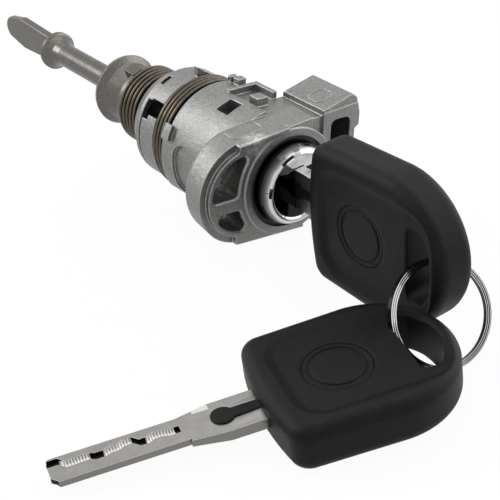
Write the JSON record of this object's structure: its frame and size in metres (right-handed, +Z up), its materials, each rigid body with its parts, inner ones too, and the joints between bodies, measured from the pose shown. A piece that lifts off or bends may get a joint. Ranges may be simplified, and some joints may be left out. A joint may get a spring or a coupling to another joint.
{
  "type": "car door lock cylinder",
  "caption": "Die-cast car door lock cylinder with sprung tail shaft, a key in its slot and a linked second key on a split ring",
  "frame": {"origin": "on the lock's axis in the plane of the flange's front face", "axes": "Y is the lock's axis, the face looks along -Y; +Z up; +X towards the square block"},
  "size_m": [0.106, 0.1948, 0.0374],
  "materials": {
    "zinc": "grained",
    "tail_zinc": "grained",
    "rubber": "soft",
    "chrome": "polished",
    "steel": "satin",
    "brass": "satin",
    "spring": "bronze tint",
    "blade": "satin",
    "bow_plastic": "soft",
    "glass": "clear",
    "ring_steel": "polished"
  },
  "bodies": {
    "lock": {"housing": "zinc", "seal_ring": "rubber", "sleeve": "zinc", "return_spring": "spring"},
    "plug": {"plug": "zinc", "chrome_cap": "chrome", "shutter": "steel", "shutter_pin": "steel", "coupler": "steel", "wafer_springs": "steel", "wafer_1": "brass", "wafer_2": "brass", "wafer_3": "brass", "wafer_4": "brass", "wafer_5": "brass", "wafer_6": "brass", "wafer_7": "brass", "wafer_8": "brass"},
    "clutch": {"clutch_ring": "zinc"},
    "tail": {"tail_shaft": "tail_zinc", "retaining_clip": "steel", "tail_spring": "spring"},
    "ring": {"split_ring": "ring_steel"},
    "key_1": {"key_1_blade": "blade", "key_1_bow": "bow_plastic", "key_1_badge": "bow_plastic", "key_1_chip": "glass"},
    "key_2": {"key_2_blade": "blade", "key_2_bow": "bow_plastic", "key_2_badge": "bow_plastic", "key_2_chip": "glass"}
  },
  "joints": [
    {"name": "plug_turn", "type": "hinge", "parent": "lock", "child": "plug", "pos_m": [0, 0, 0], "axis": [0, 1, 0], "range_deg": [-75, 75], "stiffness_Nm_per_rad": 0.25},
    {"name": "clutch_turn", "type": "hinge", "parent": "lock", "child": "clutch", "pos_m": [0, 0, 0], "axis": [0, 1, 0], "range_deg": [-75, 75]},
    {"name": "tail_turn", "type": "hinge", "parent": "lock", "child": "tail", "pos_m": [0, 0, 0], "axis": [0, 1, 0], "range_deg": [-75, 75]},
    {"name": "key_1_slide", "type": "slide", "parent": "plug", "child": "key_1", "axis": [0, -1, 0], "range_m": [0, 0.045]},
    {"name": "ring_turn", "type": "hinge", "parent": "key_1", "child": "ring", "pos_m": [-0.00216, -0.05036, -0.00955], "axis": [0.1504, 0.8521, -0.5013], "continuous": true},
    {"name": "key_2_swing", "type": "hinge", "parent": "key_1", "child": "key_2", "pos_m": [-0.00216, -0.05036, -0.00955], "axis": [0.1504, 0.8521, -0.5013], "range_deg": [-110, 4]}
  ],
  "couplings": [
    {"joint": "clutch_turn", "follows": "plug_turn", "ratio": 1},
    {"joint": "tail_turn", "follows": "plug_turn", "ratio": 1}
  ]
}
